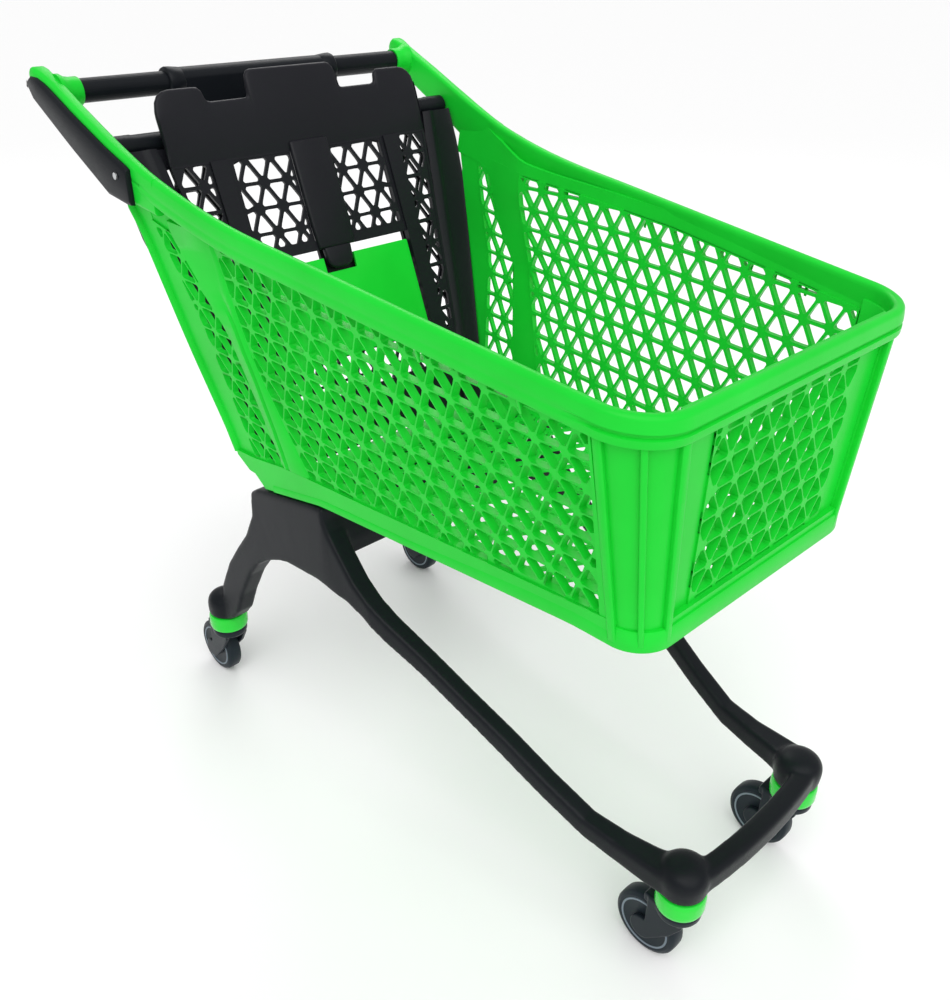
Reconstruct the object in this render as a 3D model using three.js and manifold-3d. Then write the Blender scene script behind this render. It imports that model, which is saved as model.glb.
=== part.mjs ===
// Shopping cart with a plastic basket, a hinged rear gate, a fold-out child seat and four swivel casters.
// Millimetres, +Z up, +X the way the cart is pushed, +Y its left side.
// Shapes are drawn with x measured from the handle axis; the last step moves the origin to the middle
// of the cart at floor level.
import * as THREE from 'three';
import { mergeVertices } from 'three/addons/utils/BufferGeometryUtils.js';
import Module from 'manifold-3d';

const wasm = await Module();
wasm.setup();

// ---------- driving sizes ----------
const gap = 0.3;
const running = 0.08;

const handle = { z: 960, radius: 16, wall: 2.5, halfLength: 276, socketRadius: 19 };
const hornThickness = 18;
const hinge = { x: 101, z: 900, rodRadius: 6, barrelRadius: 15 };

const front = { x: 990, cornerRadius: 70, bottomX: 978, bottomRadius: 48 };
const sideEnd = { topX: 920, bottomX: 930 };
const rearEdge = { topX: 152, bottomX: 250 };
const rimDepth = 33;
const rimWidth = 15;
const wallRecess = 6;
const wallThickness = 3.5;

const wheel = { radius: 47, width: 25, trail: 39, hubRadius: 37, axleZ: 40 };
const collar = { bottom: 106, top: 134, radius: 32 };
const stemRadius = 7;
const frontCaster = { x: 1019, y: 132 };
const rearCaster = { x: 134, y: 234 };

const green = { color: 0x2cf03a, roughness: 0.38 };
const dark = { color: 0x2c2f34, roughness: 0.5 };
const tyreGrey = { color: 0x3a444a, roughness: 0.6 };
const paleGrey = { color: 0x98a4aa, roughness: 0.45 };
const steel = { color: 0x9a9da0, roughness: 0.3, metalness: 1 };

// ---------- curves of the basket ----------
function along(table, x) {
  if (x <= table[0][0]) return table[0][1];
  for (let i = 1; i < table.length; i += 1) {
    const [x0, a] = table[i - 1];
    const [x1, b] = table[i];
    if (x <= x1) return a + ((b - a) * (x - x0)) / (x1 - x0);
  }
  return table[table.length - 1][1];
}

const rimHeight = (x) => along([
  [-42, 984], [-30, 991], [0, 981], [63, 955], [144, 921], [196, 901], [237, 887], [318, 867],
  [402, 853], [510, 842], [696, 823], [925, 800], [990, 794],
], x);
const rimHalfWidth = (x) => along([[63, 320], [144, 317], [237, 310], [402, 301], [696, 280], [920, 263]], x);
const hornUnderside = (x) => along([[-42, 964], [-32, 952], [0, 935], [63, 902], [144, 858], [196, 846], [300, 832]], x);
const floorHeight = (x) => along([[250, 426], [290, 435], [436, 468], [880, 506], [978, 505]], x);
const wallHalfWidth = (x, z) => 296 - 0.0462 * (x - 400) + 0.1835 * (z - 823);

// ---------- solid helpers ----------
function bare(geometry) {
  const flat = geometry.index ? geometry.toNonIndexed() : geometry;
  const result = new THREE.BufferGeometry();
  result.setAttribute('position', flat.getAttribute('position'));
  return mergeVertices(result, 1e-4);
}

function toSolid(geometry) {
  const merged = bare(geometry);
  const vertProperties = new Float32Array(merged.getAttribute('position').array);
  const triVerts = new Uint32Array(merged.index.array);
  return new wasm.Manifold(new wasm.Mesh({ numProp: 3, vertProperties, triVerts }));
}

function toGeometry(solid) {
  const mesh = solid.getMesh();
  const geometry = new THREE.BufferGeometry();
  geometry.setAttribute('position', new THREE.BufferAttribute(new Float32Array(mesh.vertProperties), 3));
  geometry.setIndex(new THREE.BufferAttribute(new Uint32Array(mesh.triVerts), 1));
  return geometry;
}

const join = (solids) => solids.reduce((sum, next) => sum.add(next));
const cut = (solid, tools) => tools.reduce((rest, tool) => rest.subtract(tool), solid);
const mirrored = (solid) => solid.mirror([0, 1, 0]);

// Ear-clips one end outline of a loft, whatever way it faces in space.
function capTriangles(points) {
  const normal = new THREE.Vector3();
  points.forEach((p, i) => {
    const q = points[(i + 1) % points.length];
    normal.x += (p[1] - q[1]) * (p[2] + q[2]);
    normal.y += (p[2] - q[2]) * (p[0] + q[0]);
    normal.z += (p[0] - q[0]) * (p[1] + q[1]);
  });
  normal.normalize();
  const side = Math.abs(normal.x) > 0.8 ? new THREE.Vector3(0, 1, 0) : new THREE.Vector3(1, 0, 0);
  const u = side.cross(normal).normalize();
  const v = normal.clone().cross(u);
  const flat = points.map((p) => {
    const q = new THREE.Vector3(...p);
    return new THREE.Vector2(q.dot(u), q.dot(v));
  });
  return THREE.ShapeUtils.triangulateShape(flat, []);
}

// Closed solid through a row of outlines that all have the same number of corners.
function loft(sections) {
  const count = sections[0].length;
  const triangles = [];
  for (let s = 0; s < sections.length - 1; s += 1) {
    for (let i = 0; i < count; i += 1) {
      const j = (i + 1) % count;
      const a = s * count + i;
      const b = s * count + j;
      triangles.push([a, b, b + count], [a, b + count, a + count]);
    }
  }
  const last = (sections.length - 1) * count;
  capTriangles(sections[0]).forEach(([a, b, c]) => triangles.push([a, c, b]));
  capTriangles(sections[sections.length - 1]).forEach(([a, b, c]) => triangles.push([last + a, last + b, last + c]));
  const points = sections.flat();
  let volume = 0;
  triangles.forEach(([a, b, c]) => {
    const [p, q, r] = [a, b, c].map((k) => new THREE.Vector3(...points[k]));
    volume += p.dot(q.cross(r));
  });
  const ordered = volume < 0 ? triangles.map(([a, b, c]) => [a, c, b]) : triangles;
  const geometry = new THREE.BufferGeometry();
  geometry.setAttribute('position', new THREE.Float32BufferAttribute(points.flat(), 3));
  geometry.setIndex(ordered.flat());
  return toSolid(geometry);
}

// Outline in the x-z plane swept from y0 to y1.
function sideways(outline, y0, y1) {
  return loft([y0, y1].map((y) => outline.map(([x, z]) => [x, y, z])));
}

function block(x0, x1, y0, y1, z0, z1) {
  return loft([z0, z1].map((z) => [[x0, y0, z], [x1, y0, z], [x1, y1, z], [x0, y1, z]]));
}

function circle(radius, steps, fromAngle = 0) {
  return Array.from({ length: steps }, (unused, i) => {
    const angle = fromAngle + (2 * Math.PI * i) / steps;
    return [radius * Math.cos(angle), radius * Math.sin(angle)];
  });
}

// Round bar along y.
function axleBar(x, z, radius, y0, y1, steps = 24) {
  return sideways(circle(radius, steps).map(([a, b]) => [x + a, z + b]), y0, y1);
}

// Round post along z.
function post(x, y, radius, z0, z1, steps = 24) {
  return loft([z0, z1].map((z) => circle(radius, steps).map(([a, b]) => [x + a, y + b, z])));
}

// Solid of revolution round the y axis from [radius, y] rows.
function turned(x, z, rows, steps = 32) {
  const profile = rows.map(([radius, y]) => new THREE.Vector2(radius, y));
  const geometry = new THREE.LatheGeometry([...profile, profile[0]], steps);
  geometry.translate(x, 0, z);
  return toSolid(geometry);
}

// ---------- basket ----------
// Each station of the basket wall: its rim corner, its floor corner and the way it faces.
function wallStations() {
  const stations = [];
  const sideSteps = 8;
  const cornerSteps = 6;
  for (let i = 0; i <= sideSteps; i += 1) {
    const u = i / sideSteps;
    const topX = rearEdge.topX + u * (sideEnd.topX - rearEdge.topX);
    const bottomX = rearEdge.bottomX + u * (sideEnd.bottomX - rearEdge.bottomX);
    const z = floorHeight(bottomX);
    stations.push({
      top: [topX, rimHalfWidth(topX), rimHeight(topX)],
      bottom: [bottomX, wallHalfWidth(bottomX, z), z],
      facing: [0, 1],
    });
  }
  const side = stations[stations.length - 1];
  for (let i = 1; i <= cornerSteps; i += 1) {
    const angle = (Math.PI / 2) * (1 - i / cornerSteps);
    const facing = [Math.cos(angle), Math.sin(angle)];
    const topX = side.top[0] + front.cornerRadius * facing[0];
    const topY = side.top[1] - front.cornerRadius * (1 - facing[1]);
    const bottomX = side.bottom[0] + front.bottomRadius * facing[0];
    const bottomY = side.bottom[1] - front.bottomRadius * (1 - facing[1]);
    stations.push({
      top: [topX, topY, rimHeight(topX)],
      bottom: [bottomX, bottomY, floorHeight(bottomX)],
      facing,
    });
  }
  const other = stations.map((s) => ({
    top: [s.top[0], -s.top[1], s.top[2]],
    bottom: [s.bottom[0], -s.bottom[1], s.bottom[2]],
    facing: [s.facing[0], -s.facing[1]],
  }));
  return [...stations, ...other.reverse()];
}

const stations = wallStations();

// Point of the wall at a station, a share of the way up, set inwards by a depth.
function wallPoint(station, up, depth, lift = 0) {
  const [x, y, z] = station.bottom.map((b, k) => b + (station.top[k] - b) * up);
  return [x - station.facing[0] * depth, y - station.facing[1] * depth, z + lift];
}

function mixStations(position) {
  const i = Math.min(Math.floor(position), stations.length - 2);
  const t = position - i;
  const mix = (a, b) => a.map((value, k) => value + (b[k] - value) * t);
  return {
    top: mix(stations[i].top, stations[i + 1].top),
    bottom: mix(stations[i].bottom, stations[i + 1].bottom),
    facing: mix(stations[i].facing, stations[i + 1].facing),
  };
}

function basketRim() {
  const section = [[0, 0], [rimWidth, 0], [rimWidth, -5], [9.5, -5], [9.5, -rimDepth], [0, -rimDepth]];
  return loft(stations.map((s) => section.map(([depth, lift]) => wallPoint(s, 1, depth, lift))));
}

function basketWall() {
  const inner = wallRecess + wallThickness;
  return loft(stations.map((s) => [
    wallPoint(s, 1, wallRecess, -rimDepth + 3),
    wallPoint(s, 1, inner, -rimDepth + 3),
    wallPoint(s, 0, inner),
    wallPoint(s, 0, wallRecess),
  ]));
}

function bottomBand() {
  const height = 13;
  return loft(stations.map((s) => [
    wallPoint(s, 0, 0, height),
    wallPoint(s, 0, wallRecess + wallThickness, height),
    wallPoint(s, 0, wallRecess + wallThickness),
    wallPoint(s, 0, 0),
  ]));
}

// Upright rib flush with the rim; positions run along the stations at its foot and its head.
function wallRib(footFrom, footTo, headFrom, headTo) {
  const depth = wallRecess + wallThickness - 0.5;
  const ring = (a, b, up, lift) => [
    wallPoint(mixStations(a), up, 0, lift),
    wallPoint(mixStations(b), up, 0, lift),
    wallPoint(mixStations(b), up, depth, lift),
    wallPoint(mixStations(a), up, depth, lift),
  ];
  return loft([ring(footFrom, footTo, 0, 2), ring(headFrom, headTo, 1, -rimDepth + 2)]);
}

function basketFloor() {
  const inset = wallRecess + 1.5;
  const thickness = 4;
  const sections = stations.slice(0, stations.length / 2).filter((s) => s.bottom[0] > 270).map((s) => {
    const [x, y, z] = s.bottom;
    const edgeX = x - s.facing[0] * inset;
    const edgeY = Math.abs(y) - Math.abs(s.facing[1]) * inset;
    return [[edgeX, -edgeY, z], [edgeX, edgeY, z], [edgeX, edgeY, z + thickness], [edgeX, -edgeY, z + thickness]];
  });
  const rear = 277;
  const rearY = wallHalfWidth(rear, floorHeight(rear)) - inset;
  const rearZ = floorHeight(rear);
  const start = [
    [rear, -rearY, rearZ], [rear, rearY, rearZ], [rear, rearY, rearZ + thickness], [rear, -rearY, rearZ + thickness],
  ];
  return loft([start, ...sections]);
}

function horn() {
  const xs = [-42, -31, 0, 63, 144, 196, 240];
  return loft(xs.map((x) => {
    const outer = rimHalfWidth(x);
    const inner = outer - along([[144, hornThickness], [240, 12]], x);
    const top = rimHeight(x);
    const low = hornUnderside(x);
    return [[x, inner, low], [x, outer, low], [x, outer, top], [x, inner, top]];
  }));
}

function buildBasket() {
  const corner = 8;
  const ribs = [
    wallRib(0, 0.35, 0, 0.3),
    wallRib(1.35, 1.75, 0.55, 0.9),
    wallRib(corner + 0.0, corner + 0.9, corner + 0.0, corner + 0.7),
    wallRib(corner + 2.8, corner + 3.3, corner + 2.8, corner + 3.2),
    wallRib(corner + 5.2, corner + 6.05, corner + 5.3, corner + 6.02),
  ];
  const socket = axleBar(0, handle.z, handle.socketRadius, handle.halfLength + gap, 310, 32);
  const half = [...ribs, horn(), socket];
  const lip = block(276.5, 282.5, -205, 205, 434, 453);
  const body = join([basketRim(), basketWall(), bottomBand(), basketFloor(), lip, ...half, ...half.map(mirrored)]);
  const rearCorner = [[190, 380], [288, 380], [290, 447], [292, 457], [262, 458], [241, 479], [226, 484]];
  const rodBore = axleBar(hinge.x, hinge.z, hinge.rodRadius + running, -313, 313, 24);
  const belowFloor = block(-60, 120, -400, 400, 300, 840);
  const cutters = [sideways(rearCorner, -300, -206), sideways(rearCorner, 206, 300), rodBore, belowFloor];
  return cut(body, cutters);
}

// ---------- handle ----------
function buildHandleBar() {
  const length = handle.halfLength;
  const outer = axleBar(0, handle.z, handle.radius, -length, length, 32);
  return outer.subtract(axleBar(0, handle.z, handle.radius - handle.wall, -length - 1, length + 1, 32));
}

function buildHandleCover() {
  const halfLength = 147;
  const radius = 19.5;
  const outline = [];
  for (let degrees = 20; degrees <= 215; degrees += 15) {
    const angle = THREE.MathUtils.degToRad(degrees);
    outline.push([radius * Math.cos(angle), handle.z + radius * Math.sin(angle)]);
  }
  outline.push([-8, handle.z - 26], [2, handle.z - 36], [9, handle.z - 39], [16, handle.z - 38], [18.5, handle.z - 30]);
  const bore = axleBar(0, handle.z, handle.radius + gap, -halfLength - 1, halfLength + 1, 32);
  return sideways(outline, -halfLength, halfLength).subtract(bore);
}

function buildGripCover() {
  const xs = [-50, -40, 0, 63, 144, 196];
  const shell = loft(xs.map((x) => {
    const inner = rimHalfWidth(x) + gap;
    const outer = inner + 8;
    const top = Math.min(rimHeight(x) - 2, 986);
    const low = hornUnderside(x) - 5 + along([[144, 0], [196, 4]], x);
    return [[x, inner, low], [x, outer, low + 6], [x, outer, top - 4], [x, inner, top]];
  }));
  return shell.subtract(axleBar(175, 882, 2.5, 300, 340, 16));
}

function buildGripScrew() {
  const surface = rimHalfWidth(175) + 8 + gap;
  const head = axleBar(175, 882, 4.5, surface + 2 * gap, surface + 2.6, 20);
  const shank = axleBar(175, 882, 2.2, rimHalfWidth(175) + gap, surface + 1, 16);
  return head.add(shank);
}

// ---------- chassis ----------
function buildChassisSide() {
  const arch = [
    [252, 416], [268, 426], [290, 433], [416, 461.5], [437, 464.5], [441, 447], [449, 430], [465, 411], [500, 374],
    [560, 336], [560, 303], [520, 325], [490, 336], [424, 343], [346, 335], [305, 320], [268, 297],
    [240, 262], [219, 215], [203, 165], [195, 140], [150, 140], [149, 203], [175, 255], [203, 296], [230, 331],
    [252, 377],
  ];
  const archPlate = loft([-16, 16].map((offset) => arch.map(([x, z]) => {
    const lean = along([[140, 236], [300, 224], [420, 216]], z);
    return [x, lean - along([[500, 0], [560, 9]], x) + offset, z];
  })));
  const armRows = [
    [540, 209, 312, 348], [560, 207, 302, 336], [622, 197, 272, 303], [690, 186, 238, 268], [756, 175, 203, 234],
    [820, 165, 168, 196], [857, 160, 150, 178], [885, 156, 139, 169], [916, 152, 134, 166], [960, 147, 134.4, 168],
    [1012, 138, 134.4, 172],
  ];
  const arm = loft(armRows.map(([x, y, low, high]) => [
    [x, y - 14, low], [x, y + 14, low], [x, y + 14, high - 3], [x, y + 10, high], [x, y - 10, high], [x, y - 14, high - 3],
  ]));
  const boss = (caster, top) => loft([
    [30, collar.top + gap], [31, collar.top + 8], [31, top - 14], [27, top - 5], [18, top],
  ].map(([radius, z]) => circle(radius, 24).map(([a, b]) => [caster.x + a, caster.y + b, z])));
  const body = join([archPlate, arm, boss(frontCaster, 185), boss(rearCaster, 174)]);
  const bores = [frontCaster, rearCaster].map((c) => post(c.x, c.y, stemRadius + running, 120, 166));
  return cut(body, bores);
}

function buildRearBeam() {
  const outline = [[300, 404], [300, 435], [416, 461.5], [434, 464.5], [456, 407], [456, 386], [430, 384]];
  return sideways(outline, -194, 194);
}

function buildFrontBar() {
  const ys = [-101, -70, -35, 0, 35, 70, 101];
  return loft(ys.map((y) => {
    const bow = 10 * (1 - (y / 132) ** 2);
    const x = 1033 + bow;
    return [[x - 14, y, 138], [x + 12, y, 138], [x + 15, y, 142], [x + 15, y, 168], [x + 11, y, 172], [x - 14, y, 172]];
  }));
}

// ---------- rear gate and child seat ----------
// The gate leans: points are given as distance across, distance down the gate and height off its front face.
const lean = { x: 112, z: 903, down: [0.3714, -0.9285], out: [0.9285, 0.3714] };

function onGate(across, down, out) {
  const x = lean.x + down * lean.down[0] + out * lean.out[0];
  const z = lean.z + down * lean.down[1] + out * lean.out[1];
  return [x, across, z];
}

function slab(outline, from, to) {
  return loft([from, to].map((out) => outline.map(([across, down]) => onGate(across, down, out))));
}

function pinAlongGate(down, out, radius, y0, y1, steps = 20) {
  const [x, unused, z] = onGate(0, down, out);
  return axleBar(x, z, radius, y0, y1, steps);
}

const bothSides = (points) => [...points, ...points.slice().reverse().map(([a, b]) => [-a, b])];
const box2 = (a0, a1, s0, s1) => [[a0, s0], [a1, s0], [a1, s1], [a0, s1]];

const gateSize = { length: 490, pinDown: 206, pinOut: -3, seatPivotDown: 443, seatPivotOut: 8.5 };

function buildRearGate() {
  const panel = slab(bothSides([[292, 4], [292, 60], [286, 120], [211, gateSize.length]]), -6, 0);
  const stile = slab([[294, -2], [294, 60], [289, 120], [213, gateSize.length], [170, gateSize.length],
    [191, 357], [233, 33], [239, -2]], -8, 13);
  const barrel = axleBar(hinge.x, hinge.z, hinge.barrelRadius, -296, 296, 28);
  const legHole = slab(box2(25, 140, 38, 199), -10, 5);
  const lowerHoles = [0, 1, 2].map((i) => slab(box2(14 + i * 54, 58 + i * 54, 240, 425), -10, 5));
  const knuckleSlot = slab(box2(56, 86, 192, 215), -10, 5);
  const body = join([panel, barrel, stile, mirrored(stile)]);
  const holes = [legHole, knuckleSlot, ...lowerHoles];
  return cut(body, [
    ...holes, ...holes.map(mirrored),
    axleBar(hinge.x, hinge.z, hinge.rodRadius + running, -300, 300, 24),
    pinAlongGate(gateSize.pinDown, gateSize.pinOut, 2.58, 50, 92, 16),
    pinAlongGate(gateSize.pinDown, gateSize.pinOut, 2.58, -92, -50, 16),
    pinAlongGate(gateSize.seatPivotDown, gateSize.seatPivotOut, 4.08, -197, -150),
    pinAlongGate(gateSize.seatPivotDown, gateSize.seatPivotOut, 4.08, 150, 197),
  ]);
}

function buildSeatBack() {
  const top = bothSides([
    [66, -79], [76, -74], [80, -43], [86, -41], [143, -41], [149, -45], [154, -61], [200, -62], [216, -56],
    [224, -42], [226, -14], [226, 38],
  ]);
  const head = slab(top, 11, 19);
  const frame = slab(bothSides([[225, 30], [186, 357], [173, 430], [168, 450]]), 5, 12);
  const column = slab(box2(-34, 34, 30, 185), 8, 18);
  const hook = slab([[-24, 184], [24, 184], [21, 216], [-21, 216]], 6, 17);
  const ridge = slab([[140, 36], [170, 36], [166, 440], [140, 440]], 8, 15);
  const opening = slab(bothSides([[140, 185], [140, 405]]), 0, 30);
  const body = join([head, frame.subtract(opening), column, hook, ridge, mirrored(ridge)]);
  const windows = [
    slab(box2(36, 134, 40, 171), 9.5, 30),
    slab(box2(36, 134, 40, 171), 0, 7.5),
  ];
  const pins = [-1, 1].map((side) => pinAlongGate(
    gateSize.seatPivotDown, gateSize.seatPivotOut, 4.08, Math.min(side * 150, side * 197), Math.max(side * 150, side * 197),
  ));
  return cut(body, [...windows, ...windows.map(mirrored), ...pins]);
}

function buildSeatFlap() {
  const plate = slab(bothSides([[27, 221], [27, 198.5], [136, 198.5], [136, 350]]), 6, 12);
  const web = slab(box2(60, 82, 200, 212), -4, 8);
  const knuckle = pinAlongGate(gateSize.pinDown, gateSize.pinOut, 6, 60, 82);
  const body = join([plate, web, knuckle, mirrored(web), mirrored(knuckle)]);
  return cut(body, [
    pinAlongGate(gateSize.pinDown, gateSize.pinOut, 2.58, 50, 92, 16),
    pinAlongGate(gateSize.pinDown, gateSize.pinOut, 2.58, -92, -50, 16),
  ]);
}

// ---------- casters ----------
function buildCaster(name, caster, side) {
  const x = caster.x - wheel.trail;
  const place = (solid) => solid.translate([0, side * caster.y, 0]);
  const { axleZ } = wheel;

  const ring = loft([
    [29, collar.bottom], [collar.radius, collar.bottom + 4], [collar.radius, collar.top - 4], [30, collar.top],
  ].map(([radius, z]) => circle(radius, 32).map(([a, b]) => [caster.x + a, b, z])));
  const stemHole = post(caster.x, 0, stemRadius + running, 80, 140);

  const head = post(caster.x, 0, 27, 91, collar.bottom - gap, 32);
  const bridge = block(x - 12, caster.x, -18.5, 18.5, 91, collar.bottom - gap);
  const cheekOutline = [];
  for (let degrees = 60; degrees <= 330; degrees += 15) {
    const angle = THREE.MathUtils.degToRad(degrees);
    cheekOutline.push([x + 30 * Math.cos(angle), axleZ + 30 * Math.sin(angle)]);
  }
  cheekOutline.push([caster.x + 14, 78], [caster.x + 16, 105], [x + 2, 105]);
  const cheek = sideways(cheekOutline, wheel.width / 2 + 1.5, wheel.width / 2 + 6.5);
  const axleHole = axleBar(x, axleZ, 4.08, -30, 30);
  const fork = cut(join([head, bridge, cheek, mirrored(cheek)]), [axleHole, stemHole]);

  const half = wheel.width / 2;
  const hub = turned(x, axleZ, [[4.08, -half], [wheel.hubRadius, -half], [wheel.hubRadius, half], [4.08, half]]);
  const inner = wheel.hubRadius + gap;
  const tyre = turned(x, axleZ, [
    [inner, -half], [43, -half], [46, -half + 3], [wheel.radius, -half + 8], [wheel.radius, half - 8],
    [46, half - 3], [43, half], [inner, half],
  ], 40);

  return [
    [`caster_collar_${name}`, place(ring.subtract(stemHole)), green],
    [`caster_stem_${name}`, place(post(caster.x, 0, stemRadius, 92, 165.7)), steel],
    [`caster_fork_${name}`, place(fork), dark],
    [`wheel_axle_${name}`, place(axleBar(x, axleZ, 4, -half - 8, half + 8)), steel],
    [`wheel_hub_${name}`, place(hub), paleGrey],
    [`wheel_tyre_${name}`, place(tyre), tyreGrey],
  ];
}

// ---------- everything together ----------
const leftGrip = buildGripCover();
const leftScrew = buildGripScrew();
const leftSide = buildChassisSide();
const pivotPin = pinAlongGate(gateSize.seatPivotDown, gateSize.seatPivotOut, 4, 151, 196);
const flapPin = pinAlongGate(gateSize.pinDown, gateSize.pinOut, 2.5, 51, 91, 16);

const pieces = [
  ['basket', buildBasket(), green],
  ['handle_bar', buildHandleBar(), dark],
  ['handle_cover', buildHandleCover(), dark],
  ['grip_cover_left', leftGrip, dark],
  ['grip_cover_right', mirrored(leftGrip), dark],
  ['grip_screw_left', leftScrew, steel],
  ['grip_screw_right', mirrored(leftScrew), steel],
  ['gate_hinge_rod', axleBar(hinge.x, hinge.z, hinge.rodRadius, -312, 312), steel],
  ['chassis_side_left', leftSide, dark],
  ['chassis_side_right', mirrored(leftSide), dark],
  ['chassis_rear_beam', buildRearBeam(), dark],
  ['chassis_front_bar', buildFrontBar(), dark],
  ['rear_gate', buildRearGate(), dark],
  ['child_seat_back', buildSeatBack(), dark],
  ['seat_flap', buildSeatFlap(), green],
  ['seat_pivot_pin_left', pivotPin, steel],
  ['seat_pivot_pin_right', mirrored(pivotPin), steel],
  ['flap_pin_left', flapPin, steel],
  ['flap_pin_right', mirrored(flapPin), steel],
  ...buildCaster('front_left', frontCaster, 1),
  ...buildCaster('front_right', frontCaster, -1),
  ...buildCaster('rear_left', rearCaster, 1),
  ...buildCaster('rear_right', rearCaster, -1),
];

const group = new THREE.Group();
group.name = 'shopping_cart';
const bounds = new THREE.Box3();
const geometries = pieces.map(([, solid]) => {
  const geometry = toGeometry(solid);
  geometry.computeBoundingBox();
  bounds.union(geometry.boundingBox);
  return geometry;
});
const middle = bounds.getCenter(new THREE.Vector3());
pieces.forEach(([name, , look], i) => {
  geometries[i].translate(-middle.x, 0, -bounds.min.z);
  geometries[i].computeVertexNormals();
  const material = new THREE.MeshStandardMaterial({
    color: look.color,
    roughness: look.roughness,
    metalness: look.metalness ?? 0,
  });
  const mesh = new THREE.Mesh(geometries[i], material);
  mesh.name = name;
  group.add(mesh);
});

export default group;
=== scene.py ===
"""Shopping cart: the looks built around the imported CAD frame.

Shapes are written in millimetres with x measured from the handle axis, +Y to the cart's left and the
handle axis at z 960. place() turns that into the frame's metres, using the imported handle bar.
"""
import math

import bmesh
import bpy
import numpy as np
from mathutils import Matrix, Vector


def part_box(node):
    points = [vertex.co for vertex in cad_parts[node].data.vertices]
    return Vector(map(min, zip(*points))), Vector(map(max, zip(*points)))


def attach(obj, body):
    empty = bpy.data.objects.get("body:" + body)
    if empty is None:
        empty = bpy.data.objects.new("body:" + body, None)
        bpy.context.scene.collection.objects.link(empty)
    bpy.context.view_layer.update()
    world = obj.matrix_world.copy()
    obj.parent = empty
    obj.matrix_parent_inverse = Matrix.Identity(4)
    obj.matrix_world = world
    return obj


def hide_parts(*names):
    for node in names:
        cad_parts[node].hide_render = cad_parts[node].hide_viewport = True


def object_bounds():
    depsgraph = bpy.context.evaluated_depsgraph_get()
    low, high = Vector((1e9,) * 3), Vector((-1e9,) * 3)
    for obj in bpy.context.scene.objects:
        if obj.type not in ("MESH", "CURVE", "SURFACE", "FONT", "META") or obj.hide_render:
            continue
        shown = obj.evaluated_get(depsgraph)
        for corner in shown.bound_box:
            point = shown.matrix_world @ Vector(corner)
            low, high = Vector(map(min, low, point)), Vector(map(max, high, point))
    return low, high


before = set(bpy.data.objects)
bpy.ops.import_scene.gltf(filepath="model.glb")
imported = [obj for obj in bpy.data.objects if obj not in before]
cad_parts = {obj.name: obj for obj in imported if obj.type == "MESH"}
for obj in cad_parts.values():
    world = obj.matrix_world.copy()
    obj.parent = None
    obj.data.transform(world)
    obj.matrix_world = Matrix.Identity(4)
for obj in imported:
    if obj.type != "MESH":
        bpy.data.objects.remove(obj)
cad_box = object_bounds()

handle_low, handle_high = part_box("handle_bar")
HANDLE_Z = 960.0
ORIGIN = (handle_low + handle_high) / 2 - Vector((0, 0, HANDLE_Z / 1000))


def place(x, y, z):
    return (x / 1000 + ORIGIN.x, y / 1000, z / 1000 + ORIGIN.z)


# ---------- curves ----------
def along(table, x):
    """Smooth height of a curve given as (x, value) points."""
    if x <= table[0][0]:
        return table[0][1]
    for i in range(1, len(table)):
        x1, b = table[i]
        if x <= x1:
            x0, a = table[i - 1]
            before = table[i - 2] if i > 1 else (2 * x0 - x1, 2 * a - b)
            after = table[i + 1] if i + 1 < len(table) else (2 * x1 - x0, 2 * b - a)
            width = x1 - x0
            t = (x - x0) / width
            slope0 = (b - before[1]) / (x1 - before[0]) * width
            slope1 = (after[1] - a) / (after[0] - x0) * width
            return (
                a * (1 + 2 * t) * (1 - t) ** 2
                + slope0 * t * (1 - t) ** 2
                + b * t * t * (3 - 2 * t)
                + slope1 * t * t * (t - 1)
            )
    return table[-1][1]


def straight(table, x):
    """Height at x of straight lines through (x, value) points."""
    return float(np.interp(x, [p[0] for p in table], [p[1] for p in table]))


def clamped(share):
    return min(1.0, max(0.0, share))


# Heights and half widths as (x, value) points. GATE_OUTER goes by the distance down the gate.
RIM_HEIGHT = [
    (-42, 984), (-30, 991), (0, 981), (63, 955), (144, 921), (196, 901), (237, 887), (318, 867),
    (402, 853), (510, 842), (696, 823), (925, 800), (990, 794),
]
RIM_HALF_WIDTH = [(63, 320), (144, 317), (237, 310), (402, 301), (696, 280), (920, 263)]
HORN_UNDERSIDE = [(-42, 964), (-32, 952), (0, 935), (63, 902), (144, 858), (196, 846), (300, 832)]
FLOOR_HEIGHT = [(250, 426), (290, 435), (436, 468), (880, 506), (978, 505)]
LEAN_TOP = (112.0, 903.0)
LEAN_DOWN = (0.3714, -0.9285)
GATE_OUTER = [(-2, 294), (60, 294), (120, 289), (490, 213)]


def rim_height(x):
    return along(RIM_HEIGHT, x)


def rim_half_width(x):
    return straight(RIM_HALF_WIDTH, x)


def floor_height(x):
    return straight(FLOOR_HEIGHT, x)


def wall_half_width(x, z):
    return 296 - 0.0462 * (x - 400) + 0.1835 * (z - 823)


def lean(down, out):
    """Design x and z on the leaning gate: distance down from its top, then out to the front."""
    x = LEAN_TOP[0] + down * LEAN_DOWN[0] - out * LEAN_DOWN[1]
    z = LEAN_TOP[1] + down * LEAN_DOWN[1] + out * LEAN_DOWN[0]
    return x, z


def on_gate(across, down, out):
    x, z = lean(down, out)
    return place(x, across, z)


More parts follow.
